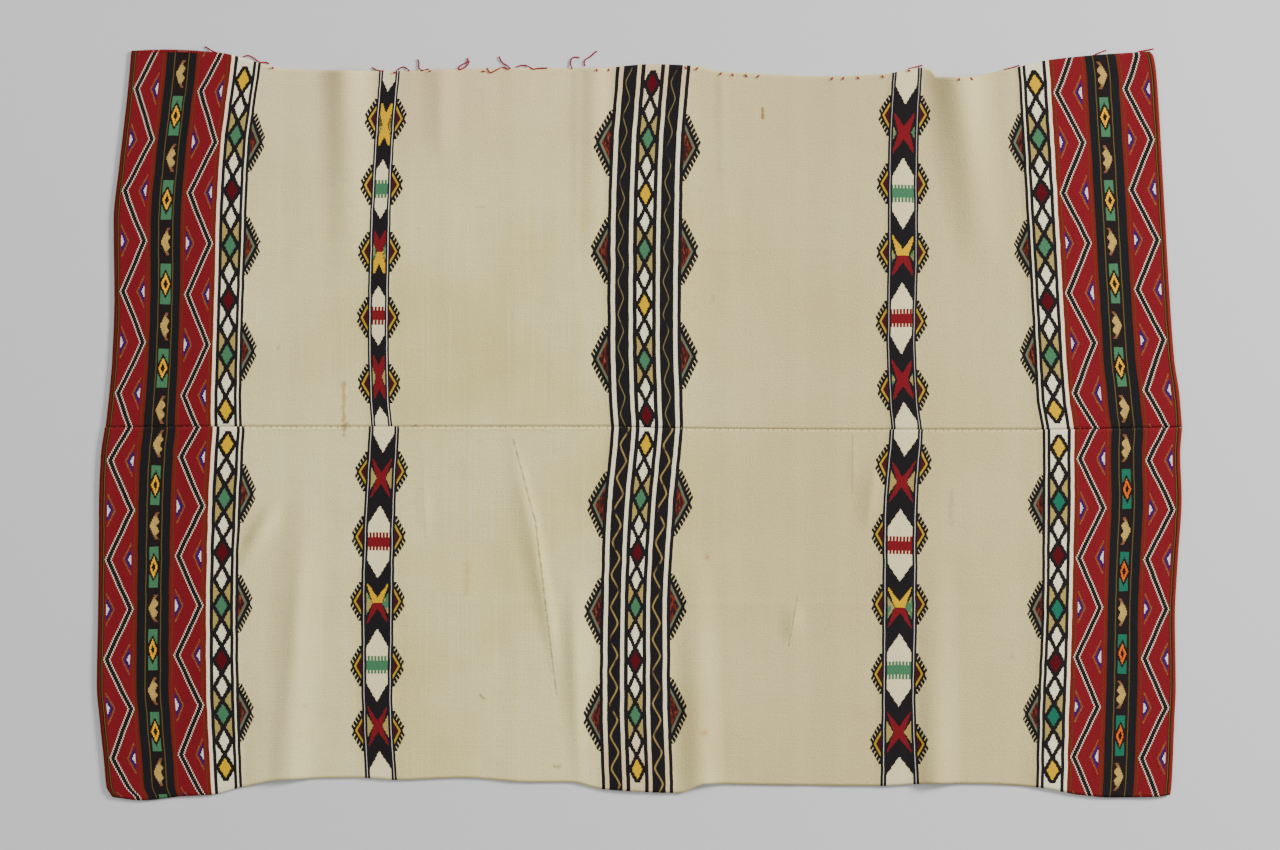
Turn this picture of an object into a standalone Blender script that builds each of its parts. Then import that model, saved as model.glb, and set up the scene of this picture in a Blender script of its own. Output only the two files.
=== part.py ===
"""Cradle blanket: two handwoven panels sewn edge to edge, laid out flat.

The frame is in metres, +Z up. The origin is on the surface under the middle
of the blanket, +X runs along the long side and +Y across both panels.
Tables are in millimetres, read along the cloth with the middle at zero.
"""
import bmesh
import bpy
import numpy as np

MM = 0.001

# Driving sizes
SEAM_GAP = 0.3 * MM
GROUND_THICKNESS = 1.6 * MM
BAND_THICKNESS = 2.2 * MM
BAND_EDGE_BLEND = 12 * MM

# A fold lower than this lies flat on the surface
FLAT_BELOW = 0.4 * MM

# Grid of each panel, and the angle (radians) from which its edges are drawn sharp
COLUMNS = 76
ROWS = 16
SHARP_ANGLE = 0.7

# Plain wool finish: linear colours of the two panels, and how dull the wool is
UPPER_COLOUR = (0.53, 0.46, 0.33)
LOWER_COLOUR = (0.55, 0.48, 0.35)
WOOL_ROUGHNESS = 0.9

# The left and right ends of the cloth at each height, upper panel then lower panel
END_COLUMNS = ("height", "left", "right")
UPPER_ENDS = (
    (502, -680, 681),
    (494, -681, 688),
    (470, -683, 692),
    (430, -687, 695),
    (343, -697, 700),
    (273, -704, 704),
    (169, -703, 710),
    (88, -706, 716),
    (40, -710, 723),
    (-4, -715, 726.5),
)
LOWER_ENDS = (
    (-4, -716, 726.5),
    (-40, -721, 724),
    (-97, -723.5, 726),
    (-178, -724, 721),
    (-260, -725, 717),
    (-350, -726.5, 718),
    (-396, -722.5, 716),
    (-450, -717, 714),
    (-485, -713.5, 712),
    (-497, -706, 710),
)

# The upper edge, the seam and the lower edge at each place along the cloth
EDGE_COLUMNS = ("along", "height")
UPPER_EDGE = (
    (-682, 501),
    (-636, 502.5),
    (-563, 498.5),
    (-506, 484),
    (-474, 477),
    (-354, 473.5),
    (-159, 478),
    (-56, 478),
    (17, 483),
    (70, 481),
    (117, 472.5),
    (256, 467),
    (329, 470),
    (378, 478.5),
    (391, 475),
    (397, 466),
    (427, 464.5),
    (488, 475),
    (551, 489),
    (620, 496),
    (684, 500),
)
SEAM = (
    (-715, -3),
    (-548, -2),
    (-53, -2),
    (58, -4.5),
    (350, -6),
    (540, -6),
    (726, -3),
)
LOWER_EDGE = (
    (-712, -497),
    (-665, -502.5),
    (-612, -497),
    (-574, -495),
    (-534, -485),
    (-471, -474),
    (-376, -472),
    (-325, -475),
    (-240, -472),
    (-143, -478),
    (-94, -478),
    (-49, -487.5),
    (54, -492.5),
    (87, -480),
    (160, -481.5),
    (324, -483),
    (395, -479.5),
    (467, -480.5),
    (533, -485),
    (589, -495),
    (630, -498.5),
    (688, -498),
    (711, -495),
)

# The woven bands across each panel, heavier than the plain ground
BAND_COLUMNS = ("from_along", "to_along")
BANDS = (
    (-730, -520),
    (-362, -325),
    (-44, 52),
    (326, 376),
    (525, 730),
)

# Soft folds: where each starts and ends, its half width, and how far the cloth
# stands off the surface at its start, middle and end
FOLD_COLUMNS = (
    "start_along", "start_height", "end_along", "end_height",
    "half_width", "lift_at_start", "lift_at_middle", "lift_at_end",
)
FOLDS = (
    (-393, 480, -386, 190, 24, 11, 6, 0),
    (424, 472, 460, 205, 27, 13, 7, 0),
    (-266, 478, -266, 330, 19, 4, 2.5, 0),
    (-60, 482, -64, 170, 17, 4, 3, 0),
    (-447, -70, -474, -478, 24, 0, 5.5, 7),
    (77, -160, 82, -484, 20, 0, 5, 8),
    (-83, -185, -85, -425, 17, 0, 3.5, 1),
    (395, -152, 396, -482, 22, 0, 4, 7),
    (-537, -192, -482, -100, 16, 1, 4, 0),
    (-172, -20, -113, -318, 14, 0, 3, 0),
    (318, -30, 302, -150, 15, 0, 2.5, 0),
    (210, -232, 200, -296, 14, 0, 2.5, 0),
)


def named_columns(table, names):
    """Each column of a table under its name, in metres."""
    values = np.array(table, dtype=float) * MM
    return {name: values[:, place] for place, name in enumerate(names)}


def smooth_curve(places, values, at):
    """A smooth line through the table's points that never overshoots them."""
    steps = np.diff(values) / np.diff(places)
    turns = steps[1:] * steps[:-1]
    sums = np.where(turns > 0, steps[1:] + steps[:-1], 1.0)
    inner = np.where(turns > 0, 2 * turns / sums, 0.0)
    slopes = np.concatenate(([steps[0]], inner, [steps[-1]]))
    at = np.clip(at, places[0], places[-1])
    cell = np.clip(np.searchsorted(places, at) - 1, 0, len(places) - 2)
    span = places[cell + 1] - places[cell]
    t = (at - places[cell]) / span
    rest = 1 - t
    return (
        values[cell] * (1 + 2 * t) * rest**2
        + slopes[cell] * span * t * rest**2
        + values[cell + 1] * (1 + 2 * rest) * t**2
        - slopes[cell + 1] * span * rest * t**2
    )


def edge_height(table, along):
    """Height of a long edge of the cloth at a place along it."""
    edge = named_columns(table, EDGE_COLUMNS)
    return smooth_curve(edge["along"], edge["height"], along)


def end_places(table, height):
    """The left and right ends of a panel at a height."""
    ends = {name: column[::-1] for name, column in named_columns(table, END_COLUMNS).items()}
    left = smooth_curve(ends["height"], ends["left"], height)
    right = smooth_curve(ends["height"], ends["right"], height)
    return left, right


def fold_lift(along, height):
    """How far the cloth's underside stands off the surface."""
    lift = np.zeros_like(along)
    folds = named_columns(FOLDS, FOLD_COLUMNS)
    for row in range(len(FOLDS)):
        fold = {name: column[row] for name, column in folds.items()}
        run_along = fold["end_along"] - fold["start_along"]
        run_height = fold["end_height"] - fold["start_height"]
        from_start = (along - fold["start_along"]) * run_along
        from_start = from_start + (height - fold["start_height"]) * run_height
        share = np.clip(from_start / (run_along**2 + run_height**2), 0, 1)
        off_along = along - fold["start_along"] - share * run_along
        off_height = height - fold["start_height"] - share * run_height
        off = np.hypot(off_along, off_height) / fold["half_width"]
        rises = np.array([fold["lift_at_start"], fold["lift_at_middle"], fold["lift_at_end"]])
        crest = smooth_curve(np.array([0.0, 0.5, 1.0]), rises, share)
        lift = np.maximum(lift, crest * np.exp(-off**2))
    return np.maximum(lift - FLAT_BELOW, 0)


def cloth_thickness(along):
    """Thickness of the cloth, greater in the woven bands."""
    bands = named_columns(BANDS, BAND_COLUMNS)
    share = np.zeros_like(along)
    for start, end in zip(bands["from_along"], bands["to_along"]):
        inside = np.minimum(along - start, end - along)
        share = np.maximum(share, np.clip(inside / BAND_EDGE_BLEND, 0, 1))
    return GROUND_THICKNESS + share * (BAND_THICKNESS - GROUND_THICKNESS)


def panel_places(across, down, ends, upper_edge, lower_edge, shift_up):
    """Where the grid's points lie: across and down run from 0 to 1."""
    rough_top = edge_height(upper_edge, np.zeros_like(down))
    rough_bottom = edge_height(lower_edge, np.zeros_like(down))
    left, right = end_places(ends, rough_top + (rough_bottom - rough_top) * down)
    along = left + (right - left) * across
    top = edge_height(upper_edge, along)
    bottom = edge_height(lower_edge, along)
    height = top + (bottom - top) * down
    left, right = end_places(ends, height)
    along = left + (right - left) * across
    return along, height + shift_up


def cloth_material(name, colour):
    """A plain woven wool finish."""
    material = bpy.data.materials.new(name)
    material.use_nodes = True
    shader = material.node_tree.nodes["Principled BSDF"]
    shader.inputs["Base Color"].default_value = (*colour, 1)
    shader.inputs["Roughness"].default_value = WOOL_ROUGHNESS
    shader.inputs["Metallic"].default_value = 0
    return material


def woven_panel(name, ends, upper_edge, lower_edge, shift_up, material):
    """One loom width of cloth: an underside on the surface, raised by its thickness."""
    sheet = bmesh.new()
    half = 0.5
    bmesh.ops.create_grid(sheet, x_segments=COLUMNS, y_segments=ROWS, size=half)
    grid = np.array([vertex.co[:] for vertex in sheet.verts])
    across = grid[:, 0] + half
    down = half - grid[:, 1]
    along, height = panel_places(across, down, ends, upper_edge, lower_edge, shift_up)
    lift = fold_lift(along, height)
    for vertex, place in zip(sheet.verts, np.stack((along, height, lift), axis=1)):
        vertex.co = place
    raised = bmesh.ops.extrude_face_region(sheet, geom=sheet.faces[:])["geom"]
    for item in raised:
        if isinstance(item, bmesh.types.BMVert):
            item.co.z += float(cloth_thickness(np.array([item.co.x]))[0])
    bmesh.ops.recalc_face_normals(sheet, faces=sheet.faces[:])
    mesh = bpy.data.meshes.new(name)
    sheet.to_mesh(mesh)
    sheet.free()
    mesh.materials.append(material)
    mesh.shade_smooth()
    mesh.set_sharp_from_angle(angle=SHARP_ANGLE)
    panel = bpy.data.objects.new(name, mesh)
    bpy.context.scene.collection.objects.link(panel)
    return panel


def build_blanket():
    """The two panels, a hair apart at the seam that joins them."""
    for old in list(bpy.data.objects):
        bpy.data.objects.remove(old, do_unlink=True)
    upper_wool = cloth_material("upper_wool", UPPER_COLOUR)
    lower_wool = cloth_material("lower_wool", LOWER_COLOUR)
    woven_panel("panel_upper", UPPER_ENDS, UPPER_EDGE, SEAM, SEAM_GAP / 2, upper_wool)
    woven_panel("panel_lower", LOWER_ENDS, SEAM, LOWER_EDGE, -SEAM_GAP / 2, lower_wool)


build_blanket()
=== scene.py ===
"""A handwoven cradle blanket, laid out flat and seen from straight above.

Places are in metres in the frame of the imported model: +X along the blanket,
+Y across it, +Z up. Tables are in millimetres, as a weaver would measure them.
"""
import math

import bpy
import numpy as np
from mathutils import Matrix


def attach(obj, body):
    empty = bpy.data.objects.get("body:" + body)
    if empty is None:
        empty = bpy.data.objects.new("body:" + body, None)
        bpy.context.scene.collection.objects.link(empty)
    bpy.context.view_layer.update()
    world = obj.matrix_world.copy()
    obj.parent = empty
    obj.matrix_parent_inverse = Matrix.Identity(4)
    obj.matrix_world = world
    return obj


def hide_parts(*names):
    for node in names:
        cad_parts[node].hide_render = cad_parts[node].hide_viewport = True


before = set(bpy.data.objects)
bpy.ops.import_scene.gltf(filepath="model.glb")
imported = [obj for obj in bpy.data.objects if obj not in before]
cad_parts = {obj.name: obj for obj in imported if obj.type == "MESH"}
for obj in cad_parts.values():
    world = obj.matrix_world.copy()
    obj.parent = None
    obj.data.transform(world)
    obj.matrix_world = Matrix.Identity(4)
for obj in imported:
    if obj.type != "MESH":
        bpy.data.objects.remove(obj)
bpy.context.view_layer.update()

# THE UPPER PANEL
# One loom width of handwoven wool, laid flat: a cream plain-weave ground with packed bands
# of dyed weft, which draw the cloth in a little. Its edges are uneven, and old folds stand
# off the surface. It is sewn to the lower panel along the middle of the blanket.

MM = 0.001
SEAM_GAP = 0.3 * MM
GROUND_THICKNESS = 1.6 * MM
BAND_THICKNESS = 2.2 * MM
# A fold that stands off the surface by less than this lies flat
FLAT_BELOW = 0.4 * MM

# The left and right ends of the cloth at each height
END_COLUMNS = ("height", "left", "right")
UPPER_ENDS = (
    (502, -680, 681), (494, -681, 688), (470, -683, 692), (430, -687, 695),
    (343, -697, 700), (273, -704, 704), (169, -703, 710), (88, -706, 716), (40, -710, 723),
    (-4, -715, 726.5),
)
# The upper edge and the seam at each place along the cloth
EDGE_COLUMNS = ("along", "height")
UPPER_EDGE = (
    (-682, 501), (-636, 502.5), (-563, 498.5), (-506, 484), (-474, 477), (-354, 473.5),
    (-159, 478), (-56, 478), (17, 483), (70, 481), (117, 472.5), (256, 467), (329, 470),
    (378, 478.5), (391, 475), (397, 466), (427, 464.5), (488, 475), (551, 489), (620, 496),
    (684, 500),
)
SEAM = (
    (-715, -3), (-548, -2), (-53, -2), (58, -4.5), (350, -6), (540, -6), (726, -3),
)
# The outer lines of the figured bands at each height
LINE_COLUMNS = (
    "height", "left_border", "narrow_a_start", "narrow_a_end", "middle_start",
    "middle_end", "narrow_b_start", "narrow_b_end", "right_border",
)
UPPER_LINES = (
    (489, -506, -347.5, -319.5, -30.5, 69, 339.5, 379.5, 506),
    (355, -523, -357, -330, -40, 59, 332.5, 373.5, 514),
    (234, -527.5, -362.5, -334, -43, 56.5, 332, 373.5, 521),
    (114, -531.5, -364, -335.5, -43, 55.5, 330.5, 370.5, 527.5),
    (33, -533, -361.5, -334, -41, 58, 333.5, 374, 532),
    (-4, -532, -359, -330.5, -38, 58.5, 337, 378.5, 538.5),
)

# Soft folds: where each starts and ends, its half width, and how far the cloth
# stands off the surface at its start, middle and end
FOLD_COLUMNS = (
    "start_along", "start_height", "end_along", "end_height",
    "half_width", "lift_at_start", "lift_at_middle", "lift_at_end",
)
FOLDS = (
    (-393, 480, -386, 190, 24, 11, 6, 0),
    (424, 472, 460, 205, 27, 13, 7, 0),
    (-266, 478, -266, 330, 19, 4, 2.5, 0),
    (-60, 482, -64, 170, 17, 4, 3, 0),
    (-447, -70, -474, -478, 24, 0, 5.5, 7),
    (77, -160, 82, -484, 20, 0, 5, 8),
    (-83, -185, -85, -425, 17, 0, 3.5, 1),
    (395, -152, 396, -482, 22, 0, 4, 7),
    (-537, -192, -482, -100, 16, 1, 4, 0),
    (-172, -20, -113, -318, 14, 0, 3, 0),
    (318, -30, 302, -150, 15, 0, 2.5, 0),
    (210, -232, 200, -296, 14, 0, 2.5, 0),
)
# Sharp creases pressed in by storage, along the folds and between them
CREASES = (
    (-172, -19, -139, -154, 9, 0.6, 1.6, 2.0),
    (-139, -154, -113, -318, 9, 2.0, 2.4, 1.0),
    (-92, -204, -80, -468, 9, 0.6, 1.8, 1.0),
    (-322, -238, 560, -240, 8, 0.5, 0.8, 0.5),
    (-520, 236, 560, 236, 8, 0.4, 0.7, 0.5),
    (319, -32, 303, -149, 5, 0.6, 1.5, 0.4),
    (285, -12, 285, -91, 5, 0.4, 1.0, 0.2),
    (210, -233, 200, -296, 5, 0.4, 1.4, 0.3),
    (-267, 458, -267, 342, 6, 0.9, 0.9, 0.2),
    (-446, -120, -470, -400, 12, 0.3, 1.4, 0.8),
    (-537, -192, -482, -100, 10, 0.6, 3.2, 0.6),
    (-500, -300, -512, -470, 16, 0.4, 1.6, 2.4),
    (-287, -150, -291, -60, 10, 0.4, 1.4, 0.4),
    (-84, 470, -86, 140, 6, 1.2, 1.0, 0.2),
    (110, 460, 112, 250, 8, 1.2, 0.9, 0.2),
)


def named_columns(table, names):
    """Each column of a table of millimetres under its name, in metres."""
    values = np.array(table, dtype=float) * MM
    return {name: values[:, place] for place, name in enumerate(names)}


def smooth_curve(places, values, at):
    """A smooth line through the table's points that never overshoots them."""
    if places[0] > places[-1]:
        places, values = places[::-1], values[::-1]
    steps = np.diff(values) / np.diff(places)
    turns = steps[1:] * steps[:-1]
    sums = np.where(turns > 0, steps[1:] + steps[:-1], 1.0)
    inner = np.where(turns > 0, 2 * turns / sums, 0.0)
    slopes = np.concatenate(([steps[0]], inner, [steps[-1]]))
    at = np.clip(at, places[0], places[-1])
    cell = np.clip(np.searchsorted(places, at) - 1, 0, len(places) - 2)
    span = places[cell + 1] - places[cell]
    t = (at - places[cell]) / span
    rest = 1 - t
    return (
        values[cell] * (1 + 2 * t) * rest**2
        + slopes[cell] * span * t * rest**2
        + values[cell + 1] * (1 + 2 * rest) * t**2
        - slopes[cell + 1] * span * rest * t**2
    )


def edge_height(table, along):
    """Height of a long edge of the cloth at a place along it."""
    edge = named_columns(table, EDGE_COLUMNS)
    return smooth_curve(edge["along"], edge["height"], along)


def line_places(ends, lines, height):
    """Where both ends and every band line cross a height, from left to right."""
    end = named_columns(ends, END_COLUMNS)
    line = named_columns(lines, LINE_COLUMNS)
    left = smooth_curve(end["height"], end["left"], height)
    right = smooth_curve(end["height"], end["right"], height)
    inner = [smooth_curve(line["height"], line[name], height) for name in LINE_COLUMNS[1:]]
    return np.stack([left, *inner, right])


def fold_lift(folds, along, height):
    """How far a set of folds holds the cloth's underside off the surface."""
    lift = np.zeros_like(along)
    columns = named_columns(folds, FOLD_COLUMNS)
    for row in range(len(folds)):
        fold = {name: column[row] for name, column in columns.items()}
        run_along = fold["end_along"] - fold["start_along"]
        run_height = fold["end_height"] - fold["start_height"]
        from_start = (along - fold["start_along"]) * run_along
        from_start = from_start + (height - fold["start_height"]) * run_height
        share = np.clip(from_start / (run_along**2 + run_height**2), 0, 1)
        off_along = along - fold["start_along"] - share * run_along
        off_height = height - fold["start_height"] - share * run_height
        off = np.hypot(off_along, off_height) / fold["half_width"]
        rises = np.array([fold["lift_at_start"], fold["lift_at_middle"], fold["lift_at_end"]])
        crest = smooth_curve(np.array([0.0, 0.5, 1.0]), rises, share)
        lift = np.maximum(lift, crest * np.exp(-off**2))
    return np.maximum(lift - FLAT_BELOW, 0)


# Slow ripples left by the loom and by handling: how long each is along and up the cloth
RIPPLE_COLUMNS = ("length_along", "length_up", "rise")
RIPPLES = (
    (310, 900, 0.35),
    (143, 620, 0.30),
    (71, 410, 0.20),
    (47, 97, 0.12),
    (29, 230, 0.07),
    (260, 38, 0.08),
)


def ripple_lift(along, height):
    """Low unevenness of handwoven cloth, never below the surface."""
    lift = np.zeros_like(along)
    ripples = named_columns(RIPPLES, RIPPLE_COLUMNS)
    for turn, (length_along, length_up, rise) in enumerate(zip(*ripples.values())):
        sway = 0.6 * np.sin(2 * math.pi * height / length_up + 2.1 * turn)
        wave = np.sin(2 * math.pi * along / length_along + 1.7 * turn + sway)
        slanting = height / length_up + 0.4 * along / length_along
        wave = wave + 0.5 * np.sin(2 * math.pi * slanting + turn)
        lift = lift + rise * (1 + wave / 1.5)
    return lift


def cloth_lift(along, height):
    """How far the underside of the cloth stands off the surface."""
    folded = fold_lift(FOLDS, along, height) + fold_lift(CREASES, along, height)
    return folded + ripple_lift(along, height)


# Columns of the fine grid between one line and the next, from the left end to the right
SEGMENT_COLUMNS = (46, 40, 10, 68, 24, 66, 11, 36, 46)
ROWS = 122
# Columns of plain ground beside each band that hold its toothed figures
FIGURE_COLUMNS = 6
# The cloth of each segment between two lines: its first columns, the rest, its last columns
GROUND, LEFT_BORDER, NARROW_A, MIDDLE, NARROW_B, RIGHT_BORDER = range(6)
SEGMENT_CLOTHS = (
    (LEFT_BORDER, LEFT_BORDER, LEFT_BORDER),
    (LEFT_BORDER, GROUND, NARROW_A),
    (NARROW_A, NARROW_A, NARROW_A),
    (NARROW_A, GROUND, MIDDLE),
    (MIDDLE, MIDDLE, MIDDLE),
    (MIDDLE, GROUND, NARROW_B),
    (NARROW_B, NARROW_B, NARROW_B),
    (NARROW_B, GROUND, RIGHT_BORDER),
    (RIGHT_BORDER, RIGHT_BORDER, RIGHT_BORDER),
)
# Where each band starts and ends among the ten lines; a border runs from the end inwards
BAND_LINES = {
    LEFT_BORDER: (0, 1),
    NARROW_A: (2, 3),
    MIDDLE: (4, 5),
    NARROW_B: (6, 7),
    RIGHT_BORDER: (9, 8),
}
# The width that each band's figures are drawn in
BORDER_WIDTH = 180
MIDDLE_WIDTH = 98
UPPER_WIDTHS = {
    LEFT_BORDER: BORDER_WIDTH, NARROW_A: 28, MIDDLE: MIDDLE_WIDTH, NARROW_B: 41,
    RIGHT_BORDER: BORDER_WIDTH,
}


def grid_columns():
    """For each column line of the grid: the line on its left, its share of the way to the next."""
    left_lines, shares = [], []
    for segment, count in enumerate(SEGMENT_COLUMNS):
        left_lines += [segment] * count
        shares += [step / count for step in range(count)]
    left_lines.append(len(SEGMENT_COLUMNS) - 1)
    shares.append(1.0)
    return np.array(left_lines), np.array(shares)


def column_cloths():
    """The cloth of each column of faces."""
    cloths = []
    for count, (first, rest, last) in zip(SEGMENT_COLUMNS, SEGMENT_CLOTHS):
        beside = min(FIGURE_COLUMNS, count // 2)
        cloths += [first] * beside + [rest] * (count - 2 * beside) + [last] * beside
    return np.array(cloths)


def drawn_across(lines, width, places, along):
    """Place across a band in its drawn width; past the band it runs on in millimetres."""
    start, end = places[lines[0]], places[lines[1]]
    inward = np.sign(end - start)
    inside = (along - start) / (end - start)
    before = (along - start) * inward / MM
    after = width + (along - end) * inward / MM
    return np.where(inside < 0, before, np.where(inside > 1, after, inside * width))


def woven_panel(name, ends, lines, edges, shift_up, widths, cloths):
    """One loom width of cloth, with a map of the weave for its figures."""
    columns = sum(SEGMENT_COLUMNS)
    bpy.ops.object.select_all(action="DESELECT")
    bpy.ops.mesh.primitive_grid_add(x_subdivisions=columns, y_subdivisions=ROWS, size=1)
    panel = bpy.context.object
    panel.name = panel.data.name = name
    mesh = panel.data
    flat = np.zeros(len(mesh.vertices) * 3)
    mesh.vertices.foreach_get("co", flat)
    flat = flat.reshape(-1, 3)
    column = np.rint((flat[:, 0] + 0.5) * columns).astype(int)
    down = 0.5 - flat[:, 1]
    left_lines, shares = grid_columns()
    line, share = left_lines[column], shares[column]
    upper_edge, lower_edge = edges
    each = np.arange(len(column))
    along = np.zeros_like(down)
    for _ in range(3):
        top, bottom = edge_height(upper_edge, along), edge_height(lower_edge, along)
        height = top + (bottom - top) * down
        places = line_places(ends, lines, height)
        along = places[line, each] * (1 - share) + places[line + 1, each] * share
    height = height + shift_up
    lift = cloth_lift(along, height)
    mesh.vertices.foreach_set("co", np.stack((along, height, lift), axis=1).ravel())

    corner = np.zeros(len(mesh.loops), dtype=int)
    mesh.loops.foreach_get("vertex_index", corner)
    corner = corner.reshape(-1, 4)
    face_cloth = column_cloths()[column[corner].min(axis=1)]
    weave = np.stack((along[corner], height[corner]), axis=2) / MM
    for cloth, band_lines in BAND_LINES.items():
        mine = face_cloth == cloth
        at = corner[mine]
        weave[mine, :, 0] = drawn_across(band_lines, widths[cloth], places[:, at], along[at])
    while mesh.uv_layers:
        mesh.uv_layers.remove(mesh.uv_layers[0])
    mesh.uv_layers.new(name="weave").data.foreach_set("uv", weave.ravel())
    for cloth in cloths:
        mesh.materials.append(cloth)
    mesh.polygons.foreach_set("material_index", face_cloth)

    heavy = panel.vertex_groups.new(name="figured_bands")
    banded = np.isin(line, [min(pair) for pair in BAND_LINES.values()])
    heavy.add([int(point) for point in np.nonzero(banded)[0]], 1.0, "REPLACE")
    body = panel.modifiers.new("cloth_thickness", "SOLIDIFY")
    body.thickness = BAND_THICKNESS
    body.offset = 1
    body.vertex_group = heavy.name
    body.thickness_vertex_group = GROUND_THICKNESS / BAND_THICKNESS
    body.use_even_offset = False
    bpy.ops.object.modifier_apply(modifier=body.name)
    bpy.ops.object.shade_smooth()
    return panel


def dye(red, green, blue):
    """A colour as it looks in daylight, 0 to 255, turned into the shader's own values."""
    shares = np.array((red, green, blue)) / 255
    straight = np.where(shares <= 0.04045, shares / 12.92, ((shares + 0.055) / 1.055) ** 2.4)
    return (*map(float, straight), 1.0)


MADDER = dye(112, 24, 30)
DARK_MADDER = dye(80, 14, 20)
RUST = dye(104, 31, 21)
RUST_OLIVE = dye(90, 48, 28)
BLACK_WOOL = dye(29, 26, 28)
BLUE_BLACK = dye(27, 27, 29)
BROWN_BLACK = dye(31, 25, 25)
WHITE_WOOL = dye(227, 218, 180)
ROSY_WHITE = dye(236, 218, 186)
TANNED_WHITE = dye(206, 180, 132)
YELLOW = dye(204, 158, 0)
RING_YELLOW = dye(232, 164, 0)
ORANGE = dye(216, 90, 0)
GREEN = dye(64, 110, 77)
TEAL = dye(28, 98, 75)
KHAKI = dye(158, 138, 76)
OLIVE = dye(94, 76, 34)
TAN_LINE = dye(118, 84, 44)
SAGE_LINE = dye(94, 100, 76)
INDIGO = dye(34, 16, 88)
PALE_LILAC = dye(218, 202, 196)
UMBER = dye(36, 20, 18)
CREAM = dye(220, 206, 144)
DEEP_CREAM = dye(203, 186, 122)


class Reading:
    """A number at each point of the cloth, worked out by shader nodes, written as arithmetic."""

    def __init__(self, socket):
        self.socket = socket

    def worked(self, operation, *others):
        tree = self.socket.id_data
        node = tree.nodes.new("ShaderNodeMath")
        node.operation = operation
        for place, value in enumerate((self, *others)):
            if isinstance(value, Reading):
                tree.links.new(value.socket, node.inputs[place])
            else:
                node.inputs[place].default_value = value
        return Reading(node.outputs[0])

    def __add__(self, other):
        return self.worked("ADD", other)

    def __sub__(self, other):
        return self.worked("SUBTRACT", other)

    def __rsub__(self, other):
        return self.worked("MULTIPLY_ADD", -1.0, other)

    def __mul__(self, other):
        return self.worked("MULTIPLY", other)

    def __truediv__(self, other):
        return self.worked("DIVIDE", other)

    def __abs__(self):
        return self.worked("ABSOLUTE")

    def __lt__(self, other):
        return self.worked("LESS_THAN", other)

    def __gt__(self, other):
        return self.worked("GREATER_THAN", other)

    def __and__(self, other):
        return self.worked("MULTIPLY", other)

    def at_least(self, other):
        return self.worked("MAXIMUM", other)

    def at_most(self, other):
        return self.worked("MINIMUM", other)

    def stepped(self, step):
        """The middle of the step that the number lies in."""
        return ((self / step).worked("FLOOR") + 0.5) * step

    def bounce(self, span):
        """Up and down between 0 and the span."""
        return self.worked("PINGPONG", span)

    def share_of(self, pitch):
        """How far through its pitch the number is, from 0 to 1."""
        return (self / pitch).worked("FRACT")

    def nearest(self):
        return self.worked("ROUND")

    def odd(self):
        """One where a whole number is odd."""
        return abs(self).worked("MODULO", 2.0) > 0.5

    def between(self, low, high):
        return (self > low) & (self < high)

    def eased(self, low, high):
        """0 below low, 1 above high, and smooth between them."""
        tree = self.socket.id_data
        node = tree.nodes.new("ShaderNodeMapRange")
        node.interpolation_type = "SMOOTHSTEP"
        node.inputs["From Min"].default_value = low
        node.inputs["From Max"].default_value = high
        tree.links.new(self.socket, node.inputs["Value"])
        return Reading(node.outputs["Result"])


def over(below, mask, above):
    """One colour laid over another where the mask is one."""
    tree = mask.socket.id_data
    mix = tree.nodes.new("ShaderNodeMix")
    mix.data_type = "RGBA"
    tree.links.new(mask.socket, mix.inputs[0])
    for place, colour in ((6, below), (7, above)):
        if isinstance(colour, bpy.types.NodeSocket):
            tree.links.new(colour, mix.inputs[place])
        else:
            mix.inputs[place].default_value = colour
    return mix.outputs[2]


# The steps that the threads draw the figures in, along the cloth and up it, in millimetres
STEP_ACROSS = 1.3
STEP_UP = 1.6


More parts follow.
